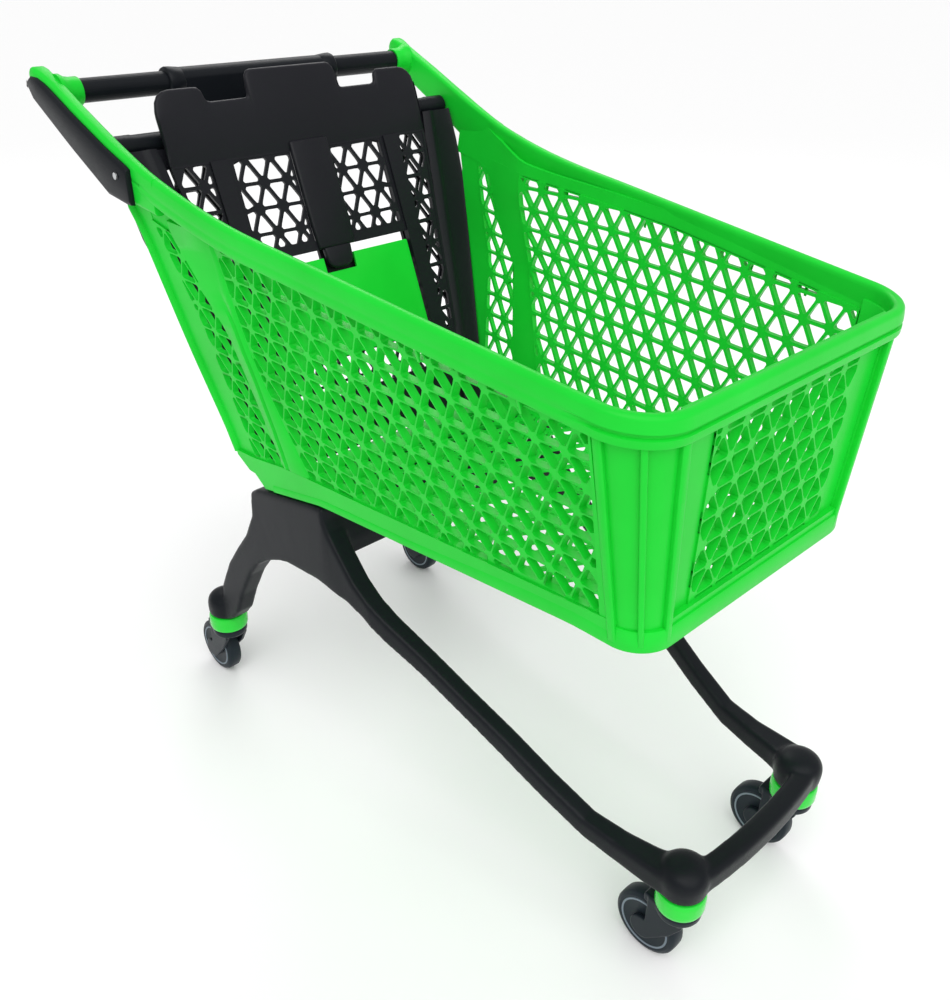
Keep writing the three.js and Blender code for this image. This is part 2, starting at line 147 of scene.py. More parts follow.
# ---------- mesh helpers ----------
class Shape:
    """Vertices and faces of one piece while it is being put together."""

    def __init__(self):
        self.points = []
        self.faces = []

    def add(self, points):
        start = len(self.points)
        self.points.extend(points)
        return start

    def loft(self, rings):
        """Joins equal closed rings of points one after another, with a cap at each end."""
        size = len(rings[0])
        starts = [self.add(ring) for ring in rings]
        for a, b in zip(starts, starts[1:]):
            for i in range(size):
                j = (i + 1) % size
                self.faces.append((a + i, a + j, b + j, b + i))
        self.faces.append(tuple(starts[0] + i for i in reversed(range(size))))
        self.faces.append(tuple(starts[-1] + i for i in range(size)))

    def slab(self, outline, place_point, near, far):
        """A flat outline of (a, b) points given thickness between two depths."""
        self.loft([[place_point(a, b, depth) for a, b in outline] for depth in (near, far)])

    def mirror(self):
        """Adds the same shape on the cart's other side."""
        count = len(self.points)
        self.points.extend([(x, -y, z) for x, y, z in self.points])
        self.faces.extend([tuple(count + i for i in reversed(face)) for face in self.faces])
        return self


def add_object(name, data):
    thing = bpy.data.objects.new(name, data)
    bpy.context.scene.collection.objects.link(thing)
    return thing


def mesh_of(name, shape, merged):
    """A shape's mesh with its faces turned outwards."""
    mesh = bpy.data.meshes.new(name)
    mesh.from_pydata(shape.points, [], shape.faces)
    tidy = bmesh.new()
    tidy.from_mesh(mesh)
    if merged:
        bmesh.ops.remove_doubles(tidy, verts=tidy.verts, dist=1e-6)
    bmesh.ops.recalc_face_normals(tidy, faces=tidy.faces)
    tidy.to_mesh(mesh)
    tidy.free()
    return mesh


def finish_piece(name, shape, body, material, replaced, bevel=0.0, steps=2, limit=35, smooth=40):
    """Makes the Blender object of a shape, rounds its edges and ties it to its CAD body."""
    mesh = mesh_of(name, shape, merged=True)
    thing = add_object(name, mesh)
    if bevel:
        rounding = thing.modifiers.new("rounding", "BEVEL")
        rounding.width = bevel / 1000
        rounding.segments = steps
        rounding.limit_method = "ANGLE"
        rounding.angle_limit = math.radians(limit)
    smooth_by_angle(thing, smooth)
    mesh.materials.append(material)
    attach(thing, body)
    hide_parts(*replaced)


def smooth_by_angle(thing, degrees):
    """Smooth shading that stays crisp where faces meet at more than the angle."""
    mesh = thing.data
    mesh.polygons.foreach_set("use_smooth", [True] * len(mesh.polygons))
    mesh.update()
    split = thing.modifiers.new("crisp edges", "EDGE_SPLIT")
    split.split_angle = math.radians(degrees)
    split.use_edge_sharp = False


def arc(a, b, reach_a, reach_b, angles):
    """Points of an ellipse round (a, b) at angles in degrees."""
    turns = [math.radians(angle) for angle in angles]
    return [(a + reach_a * math.cos(turn), b + reach_b * math.sin(turn)) for turn in turns]


def rounded_box(a0, a1, b0, b1, radius, steps=4):
    """Outline of a rectangle with round corners."""
    points = []
    for cx, cy, start in (
        (a1 - radius, b1 - radius, 0), (a0 + radius, b1 - radius, 90),
        (a0 + radius, b0 + radius, 180), (a1 - radius, b0 + radius, 270),
    ):
        points += arc(cx, cy, radius, radius, [start + 90 * i / steps for i in range(steps + 1)])
    return points


ACROSS = (0, 1, 0)
UPRIGHT = (0, 0, 1)


def lathe(shape, profile, centre, axis, steps=64):
    """Turns a profile of (radius, distance along the axis) about an axis through centre."""
    axis = Vector(axis).normalized()
    side = axis.orthogonal().normalized()
    other = axis.cross(side)
    rings = []
    for radius, distance in profile:
        ring = []
        for i in range(steps):
            angle = 2 * math.pi * i / steps
            offset = (side * math.cos(angle) + other * math.sin(angle)) * radius + axis * distance
            ring.append(place(centre[0] + offset.x, centre[1] + offset.y, centre[2] + offset.z))
        rings.append(ring)
    shape.loft(rings)


def turned(profile, centre, axis, steps=64):
    shape = Shape()
    lathe(shape, profile, centre, axis, steps)
    return shape


def both_ways(half):
    """A whole profile from its outer half, listed towards the middle."""
    return [(radius, -distance) for radius, distance in half] + half[::-1]


# ---------- lattice ----------
# Smallest cell and opening, in mm2.
LEAST_CELL = 1
LEAST_OPENING = 45


def edges(polygon):
    return zip(polygon, polygon[1:] + polygon[:1])


def keep_side(polygon, point, inward):
    """The part of a convex polygon on the inward side of a line."""
    kept = []
    for a, b in edges(polygon):
        da = (a[0] - point[0]) * inward[0] + (a[1] - point[1]) * inward[1]
        db = (b[0] - point[0]) * inward[0] + (b[1] - point[1]) * inward[1]
        if da >= 0:
            kept.append(a)
        if (da > 0 > db) or (da < 0 < db):
            t = da / (da - db)
            kept.append((a[0] + (b[0] - a[0]) * t, a[1] + (b[1] - a[1]) * t))
    return kept


def area_of(polygon):
    return sum(a[0] * b[1] - b[0] * a[1] for a, b in edges(polygon)) / 2


def counter_clockwise(polygon):
    return polygon if area_of(polygon) > 0 else polygon[::-1]


def without_repeats(polygon, distance=0.3):
    kept = []
    for p in polygon:
        if not kept or math.dist(p, kept[-1]) > distance:
            kept.append(p)
    if len(kept) > 1 and math.dist(kept[0], kept[-1]) <= distance:
        kept.pop()
    return kept


def common_part(polygon, region):
    for a, b in edges(region):
        if len(polygon) < 3:
            return []
        polygon = keep_side(polygon, a, (a[1] - b[1], b[0] - a[0]))
    return without_repeats(polygon)


def shrunk(polygon, margin):
    result = polygon
    for a, b in edges(polygon):
        length = math.dist(a, b)
        inward = ((a[1] - b[1]) / length, (b[0] - a[0]) / length)
        point = (a[0] + inward[0] * margin, a[1] + inward[1] * margin)
        result = keep_side(result, point, inward)
        if len(result) < 3:
            return []
    return without_repeats(result)


def rounded_hole(polygon, radius, steps=3):
    """Corners of a convex polygon replaced by arcs: a list of (point, outward direction)."""
    result = []
    count = len(polygon)
    for i in range(count):
        before, here, after = polygon[i - 1], polygon[i], polygon[(i + 1) % count]
        a = Vector((before[0] - here[0], before[1] - here[1]))
        b = Vector((after[0] - here[0], after[1] - here[1]))
        room = min(a.length, b.length) * 0.45
        a.normalize()
        b.normalize()
        half = math.acos(max(-1, min(1, a.dot(b)))) / 2
        # A corner that is nearly straight or nearly folded has no arc.
        if half < 0.05 or half > 1.55:
            continue
        cut = min(radius / math.tan(half), room)
        bend = cut * math.tan(half)
        middle = Vector(here) + (a + b).normalized() * (bend / math.sin(half))
        first = Vector(here) + a * cut - middle
        last = Vector(here) + b * cut - middle
        for k in range(steps + 1):
            t = k / steps
            direction = (first * (1 - t) + last * t).normalized()
            point = middle + direction * bend
            result.append(((point.x, point.y), (direction.x, direction.y)))
    return result


def band_faces(outer, inner):
    """Triangles that fill the gap between a convex polygon and the hole inside it."""
    cx = sum(p[0] for p in inner) / len(inner)
    cy = sum(p[1] for p in inner) / len(inner)

    def by_bearing(points):
        return sorted((math.atan2(p[1] - cy, p[0] - cx), i) for i, p in enumerate(points))

    outs, ins = by_bearing(outer), by_bearing(inner)
    total_out, total_in = len(outs), len(ins)
    i, j = 0, max((k for k in range(total_in) if ins[k][0] <= outs[0][0]), default=-1)

    def bearing(ordered, index):
        turns, place_in = divmod(index, len(ordered))
        return ordered[place_in][0] + 2 * math.pi * turns

    faces = []
    end_j = j + total_in
    while i < total_out or j < end_j:
        here_out, here_in = outs[i % total_out][1], ins[j % total_in][1]
        outer_next = i < total_out and (j >= end_j or bearing(outs, i + 1) <= bearing(ins, j + 1))
        if outer_next:
            i += 1
            faces.append((("cell", here_out), ("cell", outs[i % total_out][1]), ("hole", here_in)))
        else:
            j += 1
            faces.append((("cell", here_out), ("hole", ins[j % total_in][1]), ("hole", here_in)))
    return faces


def lattice(shape, region, node, step, rise, place_point, inside, outside, strand=4.4, fin=3.2, corner=3.0):
    """A triangular lattice in a convex region. Its strands thin out to fins at the outside depth."""
    region = counter_clockwise(region)
    low = [min(p[k] for p in region) for k in (0, 1)]
    high = [max(p[k] for p in region) for k in (0, 1)]
    basis = Matrix(((step[0], rise[0]), (step[1], rise[1]))).inverted()
    box = [(a, b) for a in (low[0], high[0]) for b in (low[1], high[1])]
    corners = [basis @ Vector((a - node[0], b - node[1])) for a, b in box]
    ranges = [
        range(math.floor(min(c[k] for c in corners)) - 1, math.ceil(max(c[k] for c in corners)) + 2)
        for k in (0, 1)
    ]

    def at(i, j):
        return (node[0] + step[0] * i + rise[0] * j, node[1] + step[1] * i + rise[1] * j)

    for i in ranges[0]:
        for j in ranges[1]:
            low_end, high_end = at(i + 1, j), at(i, j + 1)
            for triangle in ([at(i, j), low_end, high_end], [low_end, at(i + 1, j + 1), high_end]):
                cell = common_part(counter_clockwise(triangle), region)
                if len(cell) < 3 or area_of(cell) < LEAST_CELL:
                    continue
                opening = shrunk(cell, strand / 2)
                if len(opening) >= 3 and area_of(opening) > LEAST_OPENING:
                    hole = rounded_hole(opening, corner)
                    add_cell(shape, cell, hole, (strand - fin) / 2, place_point, inside, outside)
                else:
                    shape.slab(cell, place_point, inside, outside)


def add_cell(shape, cell, hole, spread, place_point, inside, outside):
    """One cell of a lattice. Its hole widens by spread towards the outside depth."""
    narrow = [p for p, d in hole]
    wide = [(p[0] + d[0] * spread, p[1] + d[1] * spread) for p, d in hole]
    faces = band_faces(cell, narrow)
    rims = []
    for points, depth in ((narrow, inside), (wide, outside)):
        starts = {
            "hole": shape.add([place_point(a, b, depth) for a, b in points]),
            "cell": shape.add([place_point(a, b, depth) for a, b in cell]),
        }
        for face in faces:
            corners = tuple(starts[kind] + index for kind, index in face)
            if len(set(corners)) == 3:
                shape.faces.append(corners)
        rims.append(starts["hole"])
    near, far = rims
    for k in range(len(hole)):
        after = (k + 1) % len(hole)
        shape.faces.append((near + k, near + after, far + after, far + k))


# ---------- materials ----------
def new_material(name):
    material = bpy.data.materials.new(name)
    material.use_nodes = True
    return material, material.node_tree, material.node_tree.nodes["Principled BSDF"]


def set_inputs(node, values):
    for name, value in values.items():
        node.inputs[name].default_value = value


def add_node(tree, kind, values):
    node = tree.nodes.new("ShaderNode" + kind)
    set_inputs(node, values)
    return node


def connect(tree, wires):
    """Joins sockets, each wire given as (node, its output, next node, its input)."""
    for source, output, target, socket in wires:
        tree.links.new(source.outputs[output], target.inputs[socket])


def moulded_plastic(name, colour, darker, roughness, spread, grain, strength, shine, coat):
    """Faint flow marks in the colour, uneven gloss and a fine moulded grain."""
    material, tree, shader = new_material(name)
    coordinates = add_node(tree, "TexCoord", {})
    flow = add_node(tree, "TexNoise", {"Scale": 7, "Detail": 5})
    flow_marks = add_node(tree, "MapRange", {"From Min": 0.3, "From Max": 0.7})
    tint = add_node(tree, "Mix", {})
    tint.data_type = "RGBA"
    set_inputs(tint, {"A": (*darker, 1), "B": (*colour, 1)})
    gloss_noise = add_node(tree, "TexNoise", {"Scale": 38, "Detail": 4})
    gloss = add_node(tree, "MapRange", {"To Min": roughness - spread, "To Max": roughness + spread})
    texture = add_node(tree, "TexNoise", {"Scale": grain, "Detail": 3})
    bump = add_node(tree, "Bump", {"Strength": strength, "Distance": 0.0004})
    set_inputs(shader, {"Specular IOR Level": shine, "Coat Weight": coat, "Coat Roughness": 0.2})
    connect(tree, [(coordinates, "Object", noise, "Vector") for noise in (flow, gloss_noise, texture)])
    connect(tree, [
        (flow, "Fac", flow_marks, "Value"),
        (flow_marks, "Result", tint, "Factor"),
        (tint, "Result", shader, "Base Color"),
        (gloss_noise, "Fac", gloss, "Value"),
        (gloss, "Result", shader, "Roughness"),
        (texture, "Fac", bump, "Height"),
        (bump, "Normal", shader, "Normal"),
    ])
    return material


def brushed_metal(name, colour):
    """Metal whose gloss is broken up by fine drawn-out lines."""
    material, tree, shader = new_material(name)
    coordinates = add_node(tree, "TexCoord", {})
    stretch = add_node(tree, "Mapping", {"Scale": (900, 60, 900)})
    lines = add_node(tree, "TexNoise", {"Scale": 1.0, "Detail": 4})
    gloss = add_node(tree, "MapRange", {"To Min": 0.24, "To Max": 0.42})
    set_inputs(shader, {"Base Color": (*colour, 1), "Metallic": 1.0})
    connect(tree, [
        (coordinates, "Object", stretch, "Vector"),
        (stretch, "Vector", lines, "Vector"),
        (lines, "Fac", gloss, "Value"),
        (gloss, "Result", shader, "Roughness"),
    ])
    return material


# Name, colour, darker colour, roughness and its spread, grain and its strength, shine, coat.
PLASTICS = [
    ("green plastic", (0.011, 0.65, 0.038), (0.009, 0.57, 0.03), 0.34, 0.05, 900, 0.25, 0.15, 0),
    ("green ring", (0.014, 0.68, 0.04), (0.01, 0.6, 0.03), 0.2, 0.04, 500, 0.1, 0.25, 0.3),
    ("dark plastic", (0.0075, 0.0092, 0.012), (0.0062, 0.0077, 0.0102), 0.36, 0.05, 1400, 0.4, 0.13, 0),
    ("dark seat plastic", (0.0115, 0.0115, 0.0155), (0.009, 0.009, 0.0125), 0.34, 0.05, 1400, 0.4, 0.17, 0),
    ("tyre", (0.014, 0.022, 0.029), (0.011, 0.018, 0.024), 0.42, 0.08, 700, 0.4, 0.16, 0),
    ("hub", (0.012, 0.018, 0.024), (0.0095, 0.015, 0.02), 0.34, 0.06, 900, 0.3, 0.16, 0),
    # The hub's edge ring is painted light grey: a painted highlight along the hub's outer edge next to the
    # tyre.
    ("hub rim painted highlight", (0.20, 0.25, 0.29), (0.16, 0.20, 0.24), 0.35, 0.05, 900, 0.2, 0.3, 0),
]
GREEN, RING_GREEN, DARK, SEAT_DARK, TYRE, HUB, HUB_RIM_HIGHLIGHT = (moulded_plastic(*row) for row in PLASTICS)
STEEL = brushed_metal("zinc plated steel", (0.55, 0.56, 0.57))


# ---------- basket ----------
RIM_DEPTH = 33
RIM_WIDTH = 15
FIN_OUT = 6.0
FIN_IN = 14.0
TOP_LINE = ((292, 840), (922, 766))
FRONT_TOP = 794
# Where the side starts and ends, and the front corner's radius, at the rim and at the foot.
TOP_START, TOP_END, TOP_RADIUS = 152, 920, 70
FOOT_START, FOOT_END, FOOT_RADIUS = 250, 930, 48


def top_line(x):
    (x0, z0), (x1, z1) = TOP_LINE
    return z0 + (z1 - z0) * (x - x0) / (x1 - x0)


def station(position):
    """Where the wall stands at a position: 0 to 1 along the side, 1 to 2 round the corner."""
    if position <= 1:
        top_x = TOP_START + position * (TOP_END - TOP_START)
        bottom_x = FOOT_START + position * (FOOT_END - FOOT_START)
        z = floor_height(bottom_x)
        top = (top_x, rim_half_width(top_x), rim_height(top_x))
        bottom = (bottom_x, wall_half_width(bottom_x, z), z)
        return top, bottom, (0.0, 1.0)
    angle = math.pi / 2 * (2 - position)
    facing = (math.cos(angle), math.sin(angle))
    top_x = TOP_END + TOP_RADIUS * facing[0]
    top = (top_x, rim_half_width(TOP_END) - TOP_RADIUS * (1 - facing[1]), rim_height(top_x))
    bottom_x = FOOT_END + FOOT_RADIUS * facing[0]
    foot_y = wall_half_width(FOOT_END, floor_height(FOOT_END))
    bottom = (bottom_x, foot_y - FOOT_RADIUS * (1 - facing[1]), floor_height(bottom_x))
    return top, bottom, facing


def wall_point(side, position, up, depth, lift=0.0):
    """A point on the basket's wall: share of its height, then depth in from its face and lift in mm."""
    top, bottom, facing = station(position)
    x, y, z = (b + (t - b) * up for b, t in zip(bottom, top))
    return place(x - facing[0] * depth, side * (y - facing[1] * depth), z + lift)


def rim_path(side_steps=26, corner_steps=14):
    """Positions round the whole rim, as (side, position), from the rear right to the rear left."""
    right = [(-1, i / side_steps) for i in range(side_steps)]
    right += [(-1, 1 + i / corner_steps) for i in range(corner_steps + 1)]
    return right + [(1, position) for _, position in reversed(right)]


def rim_section(position):
    """Outline of the rim as (depth, lift): a bead over a skirt, hollow below, grooved at the front."""
    groove = 3.2 * clamped((position - 0.985) / 0.02)
    section = [
        (0.6, -RIM_DEPTH), (0.0, 1.5 - RIM_DEPTH), (-0.4, -24.5), (groove, -23), (groove, -19.5), (-0.4, -18),
        (0, -12), (0.6, -7),
    ]
    section += arc(7.8, -6.2, 7.2, 6.2, (165, 140, 115, 90, 65, 40, 15))
    return section + [
        (RIM_WIDTH, -9), (FIN_IN + 0.6, -20), (FIN_IN, -34), (9.0, -34), (8.0, -12), (4.6, -12),
        (4.6, -RIM_DEPTH),
    ]


# How far the wall's rear top stands in, by x. It goes back and down with each millimetre in.
REAR_INSET = [(200, 3), (260, 8), (330, 16), (450, 8), (620, 0)]
INSET_BACK = 1.02
INSET_DOWN = 0.8


def side_wall(a, b, depth):
    """A point on the side wall. Near its rear top the wall stands in from its plain slanted plane."""
    inset = clamped((b - 680) / 120) * straight(REAR_INSET, a)
    return place(a - INSET_BACK * inset, wall_half_width(a, b) - inset - depth, b - INSET_DOWN * inset)


def ribbon(shape, low, high, place_point, inside, outside):
    """A band between two rows of points, with thickness."""
    rings = []
    for (a0, b0), (a1, b1) in zip(low, high):
        rings.append([
            place_point(a0, b0, outside), place_point(a1, b1, outside),
            place_point(a1, b1, inside), place_point(a0, b0, inside),
        ])
    shape.loft(rings)


def bead(shape, path, width, place_point, inside, outside):
    """A raised half-round bar along a path of points on a wall."""
    rings = []
    for i, point in enumerate(path):
        before, after = path[max(0, i - 1)], path[min(len(path) - 1, i + 1)]
        run = Vector((after[0] - before[0], after[1] - before[1])).normalized()
        ring = []
        for step in range(8):
            angle = math.pi * step / 7
            sideways = math.cos(angle) * width / 2
            depth = inside + (outside - inside) * math.sin(angle)
            ring.append(place_point(point[0] - run.y * sideways, point[1] + run.x * sideways, depth))
        rings.append(ring)
    shape.loft(rings)


# Outlines of the side wall's three lattices as (x, z) points.
STRIP_TOP = [(204, 830), (242, 820), (318, 688.4), (254, 690.7)]
STRIP_LOW = [(254, 690.7), (318, 688.4), (359, 500), (286, 488)]
MAIN = [
    (331, 835.4), (919, 766.5), (919, 541), (419.5, 505), (398.5, 560), (380, 611), (362, 661), (345, 745),
]
# Upright lines on the side wall as (z, x): its edge, the strip's sides, the groove, the main lattice.
REAR_EDGE = [(473, 236), (525, 229), (631, 203), (734, 182), (811, 167), (848, 152), (918, 140)]
STRIP_LEFT = [(488, 286), (690.7, 254), (830, 204)]
STRIP_RIGHT = [(500, 359), (688.4, 318), (820, 242)]
GROOVE = [(500, 373), (565, 366), (640, 355), (718, 338), (760, 322)]
MAIN_LEFT = [(505, 419.5), (560, 398.5), (611, 380), (661, 362), (745, 345), (835.4, 331)]
BEAD_WIDTH = 11


def build_side_wall():
    shape = Shape()
    for region, inside in ((STRIP_TOP, FIN_IN), (STRIP_LOW, FIN_IN), (MAIN, FIN_IN + 2)):
        lattice(
            shape, region, (595, 776.5), (38.4, -1.4), (23.6, -33.6), side_wall, inside, FIN_OUT,
            strand=4.4, fin=2.2, corner=2.6,
        )

    xs = np.linspace(150, 919, 42)
    lattice_tops = [(150, 834), (204, 826), (242, 813), (300, 832), (331, 832)]
    top_low = [(x, straight(lattice_tops, x) if x < 331 else top_line(x)) for x in xs]
    ribbon(shape, top_low, [(x, rim_height(x) - 10) for x in xs], side_wall, FIN_IN - 0.2, 8.5)

    zs = np.linspace(848, 484, 20)
    rear, front = ([(straight(line, z), z) for z in zs] for line in (REAR_EDGE, STRIP_LEFT))
    ribbon(shape, rear, front, side_wall, 13.0, 8.0)
    path = [(straight(REAR_EDGE, z) + BEAD_WIDTH / 2, z) for z in np.linspace(484, 838, 20)]
    path += [(163, 850), (172, 859), (184, 862), (195, 858), (203, 848)]
    bead(shape, path, BEAD_WIDTH, side_wall, 9.0, 1.0)
    build_flange(shape)

    add_column(shape)

    low_x = [241, 262, 275, 292, 300, 330, 358, 390, 418]
    low_x += list(np.linspace(450, 929, 22))
    foot = [(x, corner_cut(x)) for x in low_x]
    head_points = [(236, 486), (286, 489), (359, 501), (419, 506), (929, 541.5)]
    head = [(x, straight(head_points, x)) for x in low_x]
    ribbon(shape, foot, head, side_wall, FIN_IN - 0.3, 3.2)
    ribbon(
        shape, [(919, 541), (919, 600), (919, 700), (919, 790)],
        [(929.0, 541), (927.0, 600), (923.5, 700), (920.4, 790)], side_wall, FIN_IN - 0.1, 4.0,
    )
    return shape


def build_flange(shape):
    """The wall's rear edge turns in towards the gate."""
    rings = []
    for z in np.linspace(860, 500, 16):
        x = straight(REAR_EDGE, z)
        outer = wall_half_width(x, z) - 8
        inner = min(outer - 3, straight(GATE_OUTER, (903 - z) / 0.9285) + 4)
        rings.append([place(x, outer, z), place(x + 5, outer, z), place(x + 5, inner, z), place(x, inner, z)])
    shape.loft(rings)


def corner_cut(x):
    """Lower edge of the side wall, with the stepped corner at its rear."""
    stepped = [(241, 478), (262, 458), (291, 456), (292, 436)]
    return straight(stepped, x) if x < 292 else floor_height(x) + 0.5


def add_column(shape):
    """The solid upright between the lattices, with a long groove that starts part way down."""
    lip = 3.4
    rings = []
    for z in np.linspace(838, 500, 28):
        left, middle, right = (straight(line, z) for line in (STRIP_RIGHT, GROOVE, MAIN_LEFT))
        open_up = clamped((GROOVE[-1][0] - z) / 60) * clamped((z - 500) / 8)
        floor = lip + 5.0 * open_up
        profile = [
            (left, 6.0), (left + 4, lip), (middle - 6, lip), (middle - 3, floor), (middle + 3, floor),
            (middle + 6, lip - 1.2 * open_up), (right - 4, lip), (right, 6.0),
            (right, FIN_IN - 0.15), (left, FIN_IN - 0.15),
        ]
        rings.append([side_wall(x, z, depth) for x, depth in profile])
    shape.loft(rings)


def front_wall(a, b, depth):
    """Front plane: a is across, b is height."""
    return place(990 - 0.0415 * (FRONT_TOP - b) - depth, a, b)


def build_front_wall():
    shape = Shape()
    region = [(-139, 760), (139, 760), (133, 541), (-133, 541)]
    lattice(
        shape, region, (-9, 745), (38.4, 0), (19.2, 33.0), front_wall, 18, 8.5,
        strand=4.4, fin=2.2, corner=2.6,
    )
    inside, outside = 17.8, 11.0
    half_top = rim_half_width(TOP_END) - TOP_RADIUS
    foot_z = floor_height(FOOT_END)
    half_bottom = wall_half_width(FOOT_END, foot_z) - FOOT_RADIUS

    def edge(z):
        return half_bottom + (half_top - half_bottom) * (z - foot_z) / (FRONT_TOP - foot_z)

    for low, high, face in ((760, 790, outside), (506, 541, 4.0)):
        outline = [(-edge(low), low), (edge(low), low), (edge(high), high), (-edge(high), high)]
        shape.slab(outline, front_wall, inside, face)
    for side in (1, -1):
        outline = [(side * 139, 760), (side * 133, 541), (side * edge(541), 541), (side * edge(760), 760)]
        shape.slab(outline, front_wall, inside, outside)
    return shape


def build_corner():
    """Rounded corner panel between the side and the front, with three upright ribs."""
    shape = Shape()
    positions = np.linspace(0.9995, 2.0, 18)
    ups = np.linspace(0.02, 0.93, 12)
    rings = []
    for position in positions:
        ring = [wall_point(1, position, up, 7.0) for up in ups]
        ring += [wall_point(1, position, up, FIN_IN) for up in reversed(ups)]
        rings.append(ring)
    shape.loft(rings)
    for ends in ((1.0, 1.14, 1.0, 1.10), (1.46, 1.55, 1.47, 1.54), (1.88, 2.0, 1.89, 2.0)):
        add_rib(shape, *ends)
    return shape


def add_rib(shape, foot0, foot1, head0, head1):
    """An upright rib between two positions at its foot and two at its head."""
    rings = []
    for up in np.linspace(0.03, 0.905, 8):
        a = foot0 + (head0 - foot0) * up
        b = foot1 + (head1 - foot1) * up
        soft = (b - a) * 0.2
        rings.append([
            wall_point(1, a, up, 8.5), wall_point(1, a, up, 1.4), wall_point(1, a + soft, up, 0.1),
            wall_point(1, b - soft, up, 0.1), wall_point(1, b, up, 1.4), wall_point(1, b, up, 8.5),
        ])
    shape.loft(rings)


def build_bottom_lip():
    """The plain band round the foot of the basket, tallest at the front corners."""
    shape = Shape()
    rings = []
    for side, position in rim_path(30, 16):
        if position < 0.09:
            continue
        height = 12 + 16 * clamped((position - 0.55) / 0.45)
        section = [
            (0.9, 0.5), (-0.3, 3), (-0.3, height - 3), (0.9, height - 0.4), (6.5, height), (9.5, height),
            (9.5, 0), (3, 0),
        ]
        rings.append([wall_point(side, position, 0, depth, lift) for depth, lift in section])
    shape.loft(rings)
    return shape


def build_rim():
    shape = Shape()
    shape.loft([
        [wall_point(side, position, 1, depth, lift) for depth, lift in rim_section(position)]
        for side, position in rim_path()
    ])
    return shape


def build_rim_gussets():
    """Small webs under the rim's skirt: four on each side and two at the front."""
    shape = Shape()
    web = [(2.6, 2 - RIM_DEPTH), (8.4, -17 - RIM_DEPTH), (9.2, -17 - RIM_DEPTH), (9.2, -16), (2.6, -16)]
    for x in (443, 560, 700, 837):
        position = (x - TOP_START) / (TOP_END - TOP_START)
        shape.loft([
            [wall_point(1, position + offset, 1, depth, lift) for depth, lift in web]
            for offset in (-0.0025, 0.0025)
        ])
    shape.mirror()
    web = [(3.0, 2 - RIM_DEPTH), (9.6, -12 - RIM_DEPTH), (11, -12 - RIM_DEPTH), (11, -16), (3.0, -16)]
    for y in (-79, 79):
        shape.loft([
            [front_wall(y + offset, FRONT_TOP + lift, depth) for depth, lift in web] for offset in (-2.2, 2.2)
        ])
    return shape


def build_floor():
    """The floor's lattice and the solid bands round it."""
    shape = Shape()
    rear, front = 320, 930

    def floor_point(a, b, depth):
        return place(a, b, floor_height(a) + depth)

    def half(x):
        return wall_half_width(x, floor_height(x)) - 9

    edge = [(rear, half(rear) - 22), (front, half(front) - 22)]
    region = [(x, -y) for x, y in edge] + edge[::-1]
    lattice(shape, region, (600, 0), (38.4, 0), (19.2, 33.0), floor_point, 6.0, 0.5, strand=5, fin=4)
    for side in (1, -1):
        xs = (279, 300, 320, 436, 600, 760, 880, 930)
        slim = [(x, side * straight(edge, x)) for x in xs]
        ribbon(shape, slim, [(x, side * half(x)) for x in xs], floor_point, 5.8, 0.3)
    rear_rows = [(x, edge[0][1]) for x in (279, 300, 320)]
    front_rows = [(x, half(front) - 8 - (x - front) * 0.55) for x in (930, 950, 966)]
    for rows, top, low in ((rear_rows, 5.8, 0.3), (front_rows, 5.7, 0.2)):
        ribbon(shape, [(x, -y) for x, y in rows], rows, floor_point, top, low)
    return shape


def build_horn():
    """The upswept horn, the handle socket on its inner face and the rounded end of the side wall."""
    shape = Shape()
    xs = [-42, -40, -36, -31, -22, -10, 0, 15, 30, 63, 90, 115, 144, 170, 196, 220, 240]
    rings = []
    for x in xs:
        outer = rim_half_width(x) + straight([(-30, 6), (0, 1), (20, 0)], x)
        thick = straight([(-30, 24), (0, 19), (144, 18), (240, 14)], x)
        top, low = rim_height(x), straight(HORN_UNDERSIDE, x)
        shrink = straight([(-42, 4.5), (-40, 2.2), (-36, 0.8), (-31, 0)], x)
        outline = rounded_box(outer - thick + shrink, outer - shrink, low + shrink, top - shrink, 6, 4)
        rings.append([place(x, y, z) for y, z in outline])
    shape.loft(rings)
    profile = [(16.4, 276.5), (18.2, 276.3), (19, 278), (19, 288), (20.5, 296), (24, 301.5), (24, 306)]
    lathe(shape, profile, (0, 0, HANDLE_Z), ACROSS, 48)
    return shape


for name, shape, bevel in (
    ("basket_side_wall", build_side_wall().mirror(), 0.0),
    ("basket_corner", build_corner().mirror(), 0.8),
    ("basket_horn", build_horn().mirror(), 0.0),
    ("basket_rim", build_rim(), 0.0),
    ("basket_front_wall", build_front_wall(), 0.0),
    ("basket_bottom_lip", build_bottom_lip(), 0.0),
    ("basket_gussets", build_rim_gussets(), 0.4),
    ("basket_floor", build_floor(), 0.0),
):
    finish_piece(name, shape, "cart", GREEN, ["basket"], bevel)


# ---------- rear gate ----------
GATE_LENGTH = 490


def build_gate():
    shape = Shape()
    for region, node in (
        ([(146, 34), (232, 34), (191, 357), (152, 357)], (185, 69)),
        ([(0.01, 228), (146, 228), (150, 432), (0.01, 432)], (20, 240)),
        ([(152, 357), (191, 357), (178, 432), (150, 432)], (185, 69)),
    ):
        lattice(shape, region, node, (40.5, 0), (20.2, 36.3), on_gate, -1.0, -6.0)
    frame_parts = [
        [(0, 200), (56, 200), (56, 228), (0, 228)],
        [(86, 200), (146, 200), (146, 228), (86, 228)],
        [(56, 216), (86, 216), (86, 228), (56, 228)],
        [(140, 34), (146, 34), (146, 228), (140, 228)],
        [(0, 34), (25, 34), (25, 200), (0, 200)],
        [(0, 10), (236, 10), (232, 34), (0, 34)],
        [(0, 432), (178, 432), (172, 488), (0, 488)],
        [(146, 228), (150, 357), (152, 357), (146, 200)],
    ]
    for outline in frame_parts:
        shape.slab(outline, on_gate, -6, 0)
    add_stile(shape)
    return shape.mirror()


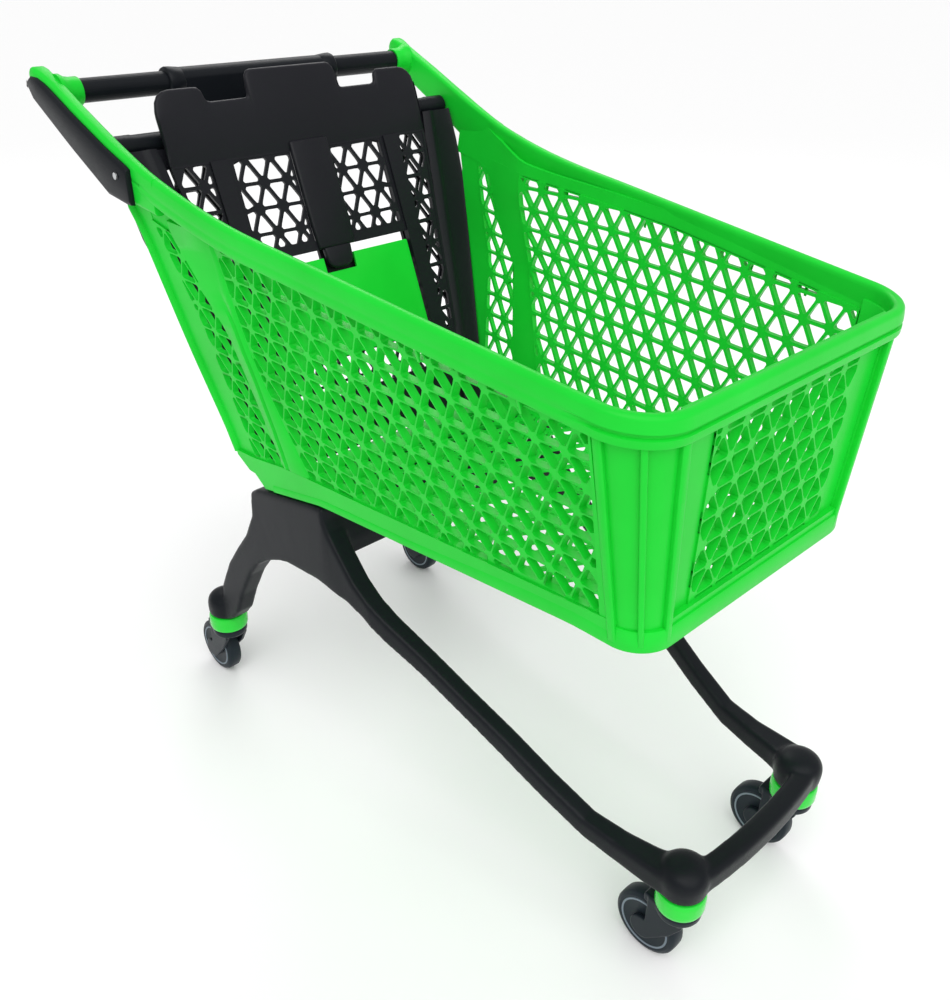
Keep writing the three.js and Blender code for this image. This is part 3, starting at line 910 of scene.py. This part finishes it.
def add_stile(shape):
    """Channel at the gate's edge, with a raised ridge along its inner side."""
    rings = []
    for down in (10, 34, 60, 120, 220, 320, 420, GATE_LENGTH):
        outer = straight(GATE_OUTER, down)
        inner = straight([(-2, 239), (33, 233), (357, 191), (GATE_LENGTH, 170)], down)
        ridge = inner + 0.22 * (outer - inner)
        rings.append([
            on_gate(a, down, out) for a, out in (
                (inner, -7.5), (inner, 9), (ridge - 3, 12.4), (ridge + 2, 12.8), (ridge + 6, 10.2),
                (ridge + 12, 9.4), (outer - 8, 9.8), (outer - 2.5, 12.0), (outer, 10), (outer, -7.5),
            )
        ])
    shape.loft(rings)


def build_gate_barrel():
    half = [(6.3, 296), (13.4, 296), (15, 294.5), (15, 262), (14.2, 260)]
    return turned(both_ways(half), (101, 0, 900), ACROSS, 40)


finish_piece("gate_panel", build_gate(), "rear_gate", SEAT_DARK, ["rear_gate"])
finish_piece("gate_barrel", build_gate_barrel(), "rear_gate", DARK, ["rear_gate"])


# ---------- child seat ----------
# Half of the seat back's top edge, as (distance across, distance down the gate).
SEAT_TOP_EDGE = [
    (0, -79), (66, -79), (72, -77), (76, -72), (78, -62), (79.5, -46), (83, -41.5), (88, -41), (141, -41),
    (147, -43), (150, -48), (152, -57), (157, -61.5), (165, -62), (200, -62), (210, -60), (218, -55),
    (223, -48), (226, -38),
]


def build_seat_head():
    """The upper band of the seat back: rounded along its top edge and running out thin at its foot."""
    shape = Shape()
    rings = []
    for across, top in [(-a, s) for a, s in reversed(SEAT_TOP_EDGE[1:])] + SEAT_TOP_EDGE:
        rings.append([on_gate(across, down, out) for down, out in (
            (37, 11), (37, 12.3), (28, 14.0), (10, 17.4), (-20, 19), (top + 6, 19), (top + 2.6, 18.3),
            (top + 0.6, 16.6), (top, 15), (top + 0.6, 13.2), (top + 3, 11.6), (top + 7, 11),
        )])
    for side, ends in ((-1, 0), (1, len(rings))):
        tip = [on_gate(side * 227.5, down, out) for down, out in (
            (37, 11.6), (37, 12.2), (28, 13.2), (10, 15.2), (-16, 16), (-27, 16), (-29, 15.8), (-30, 15.4),
            (-30, 15), (-30, 14.2), (-29, 13.4), (-26, 13),
        )]
        rings.insert(ends, tip)
    shape.loft(rings)
    return shape


def build_seat_frame():
    shape = Shape()
    for region, node in (
        ([(35, 40), (134, 40), (137, 172), (35, 172)], (50, 77)),
        ([(168, 38), (223, 38), (187, 357), (168, 357)], (185, 69)),
    ):
        step, rise = (40.5, -0.8), (20.3, 35.5)
        lattice(shape, region, node, step, rise, on_gate, 11.5, 6.5, strand=5.2, fin=4.4, corner=3.5)
    for outline, thickest in (
        ([(0, 24), (226, 24), (225.5, 40), (0, 40)], 12.2),
        ([(0, 172), (140, 172), (140, 186), (0, 186)], 12.4),
        ([(140, 38), (168, 38), (166, 446), (140, 446)], 15.2),
        ([(134, 40), (140, 40), (140, 172), (137, 172)], 12.0),
        ([(168, 357), (187, 357), (176, 446), (166, 446)], 12.1),
        ([(0, 404), (140, 404), (140, 446), (0, 446)], 12.1),
        ([(223, 38), (227, 38), (191, 357), (187, 357)], 12.1),
    ):
        shape.slab(outline, on_gate, 5, thickest)
    return shape.mirror()


def build_seat_column():
    shape = Shape()
    shape.slab([(-34, 26), (34, 26), (35, 150), (33, 186), (-33, 186), (-35, 150)], on_gate, 8, 18)
    hook = [(-25, 184), (25, 184), (23, 206), (19, 214), (10, 217.5), (-10, 217.5), (-19, 214), (-23, 206)]
    shape.slab(hook, on_gate, 6, 17)
    return shape


for name, shape, bevel in (
    ("seat_head", build_seat_head(), 0.0),
    ("seat_frame", build_seat_frame(), 0.0),
    ("seat_column", build_seat_column(), 4.0),
):
    finish_piece(name, shape, "seat_back", SEAT_DARK, ["child_seat_back"], bevel, 3)


def build_flap():
    shape = Shape()
    outline = [(28, 222), (28, 199), (134, 199), (136, 201), (136, 349)]
    shape.slab(outline + [(-a, s) for a, s in reversed(outline)], on_gate, 6, 12)
    for side in (1, -1):
        shape.slab([(side * 60, 200), (side * 82, 200), (side * 82, 212), (side * 60, 212)], on_gate, -4, 8)
    return shape


def build_flap_knuckles():
    x, z = lean(206, -3)
    profile = [(2.6, 60), (5.4, 60), (6, 60.8), (6, 81.2), (5.4, 82), (2.6, 82)]
    return turned(profile, (x, 0, z), ACROSS, 24).mirror()


finish_piece("flap", build_flap(), "seat_flap", GREEN, ["seat_flap"], 1.6, 3)
finish_piece("flap_knuckles", build_flap_knuckles(), "seat_flap", GREEN, ["seat_flap"])


# ---------- wheels and rings ----------
CASTERS = {
    "front_left": (1019, 132), "front_right": (1019, -132),
    "rear_left": (134, 234), "rear_right": (134, -234),
}
TRAIL = 39
AXLE_Z = 40
HUB_HALF = [
    (4.1, 12.4), (9, 12.4), (10, 11.4), (10.5, 9), (12, 8), (27, 7), (30, 8.4), (32.5, 11.2), (34, 12),
]


def tyre_profile():
    """The tyre's section: straight walls and a tread with a round shoulder on each side."""
    half = 12.5
    profile = [(37.4, 0.6 - half), (39.5, -half), (41.5, -half)]
    for shoulder, angles in ((-6, (-80, -60, -40, -20)), (0, (0,)), (6, (20, 40, 60, 80))):
        profile += arc(40.5, shoulder, 6.5, 6.4, angles)
    return profile + [(41.5, half), (39.5, half), (37.4, half - 0.6)]


def wheel_pieces(corner, x, y):
    centre = (x - TRAIL, y, AXLE_Z)
    wheel, swivel = "wheel_" + corner, "swivel_" + corner
    tyre = turned(tyre_profile(), centre, ACROSS, 72)
    finish_piece("tyre_" + corner, tyre, wheel, TYRE, ["wheel_tyre_" + corner], smooth=60)
    hub = turned(both_ways(HUB_HALF), centre, ACROSS)
    finish_piece("hub_" + corner, hub, wheel, HUB, ["wheel_hub_" + corner])
    # A thin ring at the hub's outer edge carries the light grey painted highlight.
    edge = Shape()
    for side in (-1, 1):
        section = [(34.1, side * 11.6), (34.4, side * 12.7), (36.6, side * 12.9), (37.1, side * 11.6)]
        lathe(edge, section, centre, ACROSS)
    finish_piece("hub_highlight_ring_" + corner, edge, wheel, HUB_RIM_HIGHLIGHT, ["wheel_hub_" + corner])
    axle = turned([(3.9, -19.2), (3.9, 19.2)], centre, ACROSS, 24)
    finish_piece("axle_" + corner, axle, swivel, STEEL, ["wheel_axle_" + corner])
    ring_profile = [
        (7.2, 106), (28.5, 106), (30.6, 107), (31.8, 110), (32, 114), (32, 126), (31.6, 130), (30.2, 133),
        (28, 134), (7.2, 134),
    ]
    ring = turned(ring_profile, (x, y, 0), UPRIGHT)
    finish_piece("ring_" + corner, ring, swivel, RING_GREEN, ["caster_collar_" + corner])


for corner, (x, y) in CASTERS.items():
    wheel_pieces(corner, x, y)


# ---------- chassis, forks and covers ----------
# One side of the chassis: (outer or upper x, z, inner or lower x, z) along leg, arch and arm.
SIDE_ROWS = [
    (144, 137, 165, 137), (147, 150, 181, 149), (149, 172, 198, 170), (151, 203, 214, 212),
    (175, 255, 240, 262), (203, 296, 264, 293), (230, 331, 290, 312), (252, 377, 308, 321),
    (252, 416, 326, 329), (268, 426, 346, 335), (290, 433, 366, 337), (350, 446.6, 395, 340),
    (416, 461.5, 424, 343), (437, 464.5, 446, 341), (441, 447, 460, 339), (449, 430, 474, 337.5),
    (465, 411, 490, 336), (500, 374, 520, 325), (530, 353, 541, 313), (560, 336, 560, 302),
    (622, 303, 622, 272), (690, 268, 690, 238), (756, 235, 756, 203), (820, 201, 820, 170),
    (885, 172, 885, 142), (935, 167.5, 935, 136), (975, 168, 975, 134.6), (1019, 169, 1019, 134.6),
]
# The arm's middle and half thickness by x, the leg's middle by z, and the domes as (radius, z).
ARM_MIDDLE = [
    (540, 211), (622, 198), (690, 186.5), (756, 175), (820, 165), (885, 155.5), (935, 149.5), (975, 145),
    (1019, 137),
]
ARM_HALF = [(440, 16), (620, 14), (900, 14), (960, 17), (1019, 25)]
LEG_LEAN = [(140, 236), (300, 224), (420, 216)]
FRONT_DOME = [
    (29.5, 134.6), (31, 138), (32, 146), (33, 158), (32, 166), (29, 171.5), (24, 176), (16, 179.4), (7, 181),
    (0.5, 181.2),
]
REAR_DOME = [(29.5, 134.6), (31, 138), (31, 156), (29, 164), (24, 170), (14, 174), (0.5, 175)]


def chassis_middle(x, z):
    """Where the middle of a chassis side stands: leaning legs at the rear, then the converging arm."""
    share = clamped((x - 430) / 190)
    share = share * share * (3 - 2 * share)
    return straight(LEG_LEAN, z) * (1 - share) + straight(ARM_MIDDLE, x) * share


def chassis_corner(corner, inward, cut, side):
    """The two points of a slanted corner: on the upper or lower edge, then on the side face."""
    middle, half = chassis_middle(corner.x, corner.y), straight(ARM_HALF, corner.x)
    return [(corner, middle + side * (half - cut)), (corner + inward * cut, middle + side * half)]


def chassis_side():
    shape = Shape()
    rings = []
    for outer_x, outer_z, inner_x, inner_z in SIDE_ROWS:
        outer, inner = Vector((outer_x, outer_z)), Vector((inner_x, inner_z))
        across = (outer - inner).normalized()
        ring = chassis_corner(outer, -across, 4.0, 1)
        ring += reversed(chassis_corner(inner, across, 2.5, 1))
        ring += chassis_corner(inner, across, 2.5, -1)
        ring += reversed(chassis_corner(outer, -across, 4.0, -1))
        rings.append([place(point.x, y, point.y) for point, y in ring])
    shape.loft(rings)
    return shape


def chassis_shapes():
    """Both sides, the caster domes, the front bar and the beam under the basket's rear."""
    sides = chassis_side()
    sides.mirror()
    shapes = [sides]
    for corner, (x, y) in CASTERS.items():
        shapes.append(turned(FRONT_DOME if corner.startswith("front") else REAR_DOME, (x, y, 0), UPRIGHT, 48))
    bar = Shape()
    rings = []
    for y in np.linspace(-126, 126, 19):
        x = 1033 + 10 * (1 - (y / 132) ** 2)
        section = [
            (x - 14, 138), (x + 11, 138), (x + 15, 142), (x + 15, 166.5), (x + 10.5, 171.5), (x - 10, 171.5),
            (x - 14, 168),
        ]
        rings.append([place(a, y, b) for a, b in section])
    bar.loft(rings)
    beam = Shape()
    outline = [(300, 404), (300, 435), (416, 461.5), (434, 464.5), (456, 407), (456, 386), (430, 384)]
    beam.loft([[place(a, y, b) for a, b in outline] for y in (-200, 200)])
    return shapes + [bar, beam]


def fork_shapes(x, y):
    """Hood under the ring that narrows into two rounded cheeks over the axle."""
    axle_x = x - TRAIL
    hood = turned([(26, 91), (29, 95), (29.5, 102), (28, 105.5)], (x, y, 0), UPRIGHT, 48)
    bridge = Shape()
    bridge_outline = rounded_box(axle_x - 2, x, 91, 105, 3, 3)
    bridge.loft([[place(a, y + side * 19, b) for a, b in bridge_outline] for side in (-1, 1)])
    shapes = [hood, bridge]
    for side in (-1, 1):
        outline = arc(axle_x, AXLE_Z, 17, 17, range(75, 316, 15))
        outline += [(x + 4, 62), (x + 19, 88), (x + 20, 103), (axle_x + 6, 103)]
        cheek = Shape()
        cheek.loft([[place(a, y + side * reach, b) for a, b in outline] for reach in (14.2, 20.6)])
        shapes.append(cheek)
    return shapes


def welded(name, shapes, body, material, voxel, rounds, replaced):
    """Makes one soft-edged piece of closed shapes that overlap."""
    whole = Shape()
    for shape in shapes:
        start = whole.add(shape.points)
        whole.faces += [tuple(start + i for i in face) for face in shape.faces]
    mesh = mesh_of(name, whole, merged=False)
    softened_skin(name, mesh, body, material, voxel, rounds, replaced)


def softened_copy(name, node, body, material, voxel, rounds):
    """Makes a soft-edged copy of a CAD node to stand for it."""
    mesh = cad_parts[node].data.copy()
    softened_skin(name, mesh, body, material, voxel, rounds, [node])


def softened_skin(name, mesh, body, material, voxel, rounds, replaced):
    """Rebuilds a mesh as one skin of voxels (mm) and softens its edges."""
    thing = add_object(name, mesh)
    weld = thing.modifiers.new("weld", "REMESH")
    weld.mode = "VOXEL"
    weld.voxel_size = voxel / 1000
    soft = thing.modifiers.new("soften", "SMOOTH")
    soft.factor = 0.5
    soft.iterations = rounds
    bpy.context.view_layer.update()
    graph = bpy.context.evaluated_depsgraph_get()
    made = bpy.data.meshes.new_from_object(thing.evaluated_get(graph))
    thing.modifiers.clear()
    thing.data = made
    made.polygons.foreach_set("use_smooth", [True] * len(made.polygons))
    made.materials.clear()
    made.materials.append(material)
    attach(thing, body)
    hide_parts(*replaced)


def build_cover_ends():
    """Collars where the handle cover ends on the bar."""
    profile = [(17, 148), (20.2, 147.4), (21.4, 144.5), (21.2, 137), (19.7, 124), (17, 120)]
    return turned(profile, (0, 0, HANDLE_Z), ACROSS, 48).mirror()


def build_grip(side):
    """Dark cover on the inner face of a horn, rounded over at its rear end."""
    shape = Shape()
    rings = []
    for x in (-50, -49, -46, -40, -30, -15, 0, 30, 63, 100, 144, 170, 188, 194, 196):
        inner = rim_half_width(x) + 0.4
        tuck = straight([(-50, 9), (-49, 6), (-46, 3), (-40, 1), (-30, 0), (190, 0), (196, 1.5)], x)
        top = min(rim_height(x) - 8, 981) - tuck
        low = straight(HORN_UNDERSIDE, x) - 5 + straight([(144, 0), (196, 4)], x) + tuck
        outer = inner + 8 - tuck * 0.4
        section = [
            (inner, low), (inner + 5, low + 1), (outer, low + 6), (outer, top - 5), (inner + 6, top - 1.5),
            (inner + 3, top), (inner, top),
        ]
        rings.append([place(x, side * y, z) for y, z in section])
    shape.loft(rings)
    return shape


welded(
    "chassis", chassis_shapes(), "cart", DARK, 2.4, 12,
    ["chassis_side_left", "chassis_side_right", "chassis_rear_beam", "chassis_front_bar"],
)
softened_copy("handle_cover_soft", "handle_cover", "cart", DARK, 1.4, 8)
ends = build_cover_ends()
finish_piece("handle_cover_ends", ends, "cart", DARK, ["handle_cover"], smooth=60)
for name, side in (("left", 1), ("right", -1)):
    finish_piece(
        "grip_" + name, build_grip(side), "cart", DARK, ["grip_cover_" + name], 0.8, 2, 50,
    )
for corner, (x, y) in CASTERS.items():
    welded(
        "fork_" + corner, fork_shapes(x, y), "swivel_" + corner, HUB, 1.2, 6,
        ["caster_fork_" + corner],
    )

# ---------- CAD nodes that stay ----------
PINS = [part + side for part in ("grip_screw", "seat_pivot_pin", "flap_pin") for side in ("_left", "_right")]
KEPT = dict.fromkeys(["gate_hinge_rod"] + PINS + ["caster_stem_" + corner for corner in CASTERS], STEEL)
KEPT["handle_bar"] = DARK
for node, material in KEPT.items():
    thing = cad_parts[node]
    thing.data.materials.clear()
    thing.data.materials.append(material)
    smooth_by_angle(thing, 40)


# ---------- floor, light and camera ----------
def stage_floor():
    mesh = bpy.data.meshes.new("floor")
    low = cad_box[0].z - 0.0005
    size = 60
    corners = [(-size, -size, low), (size, -size, low), (size, size, low), (-size, size, low)]
    mesh.from_pydata(corners, [], [(0, 1, 2, 3)])
    thing = add_object("floor", mesh)
    material, tree, shader = new_material("floor")
    noise = add_node(tree, "TexNoise", {"Scale": 3})
    gloss = add_node(tree, "MapRange", {"To Min": 0.8, "To Max": 0.9})
    set_inputs(shader, {"Base Color": (0.97, 0.97, 0.97, 1), "Specular IOR Level": 0.1})
    connect(tree, [(noise, "Fac", gloss, "Value"), (gloss, "Result", shader, "Roughness")])
    mesh.materials.append(material)


def area_light(name, spot, target, size, power):
    data = bpy.data.lights.new(name, "AREA")
    data.shape = "RECTANGLE"
    data.size, data.size_y = size
    data.energy = power
    thing = add_object(name, data)
    thing.location = spot
    thing.rotation_euler = (Vector(target) - Vector(spot)).to_track_quat("-Z", "Y").to_euler()


def studio():
    world = bpy.data.worlds.new("studio")
    bpy.context.scene.world = world
    world.use_nodes = True
    set_inputs(world.node_tree.nodes["Background"], {"Color": (1, 1, 1, 1), "Strength": 0.6})
    sun = bpy.data.lights.new("sun", "SUN")
    sun.energy = 1.72
    sun.angle = math.radians(70)
    lamp = add_object("sun", sun)
    lamp.rotation_euler = Vector((-0.58, 0.3, -0.78)).to_track_quat("-Z", "Y").to_euler()
    area_light("key", (1.2, -2.4, 3.4), (0.1, 0, 0.5), (2.0, 1.6), 16)
    area_light("back", (-2.2, 1.6, 3.0), (0, 0, 0.7), (2.0, 1.6), 26)
    scene = bpy.context.scene
    scene.view_settings.view_transform = "Standard"
    scene.view_settings.look = "None"


def add_camera():
    """The viewing angle: above the cart's right front corner."""
    yaw, pitch, roll = math.radians(45.7), math.radians(30.1), math.radians(0.8)
    forward = Vector((-math.sin(yaw) * math.cos(pitch), math.cos(yaw) * math.cos(pitch), -math.sin(pitch)))
    right = Vector((math.cos(yaw), math.sin(yaw), 0))
    up = right.cross(forward)
    level = right * math.cos(roll) + up * math.sin(roll)
    upright = up * math.cos(roll) - right * math.sin(roll)
    data = bpy.data.cameras.new("camera")
    data.lens = 36
    data.shift_x = -0.007
    data.clip_end = 200
    camera = add_object("camera", data)
    turn = Matrix((level, upright, -forward)).transposed()
    camera.matrix_world = Matrix.Translation(place(1438, -897, 1169)) @ turn.to_4x4()
    bpy.context.scene.camera = camera


stage_floor()
studio()
add_camera()

bpy.context.view_layer.update()
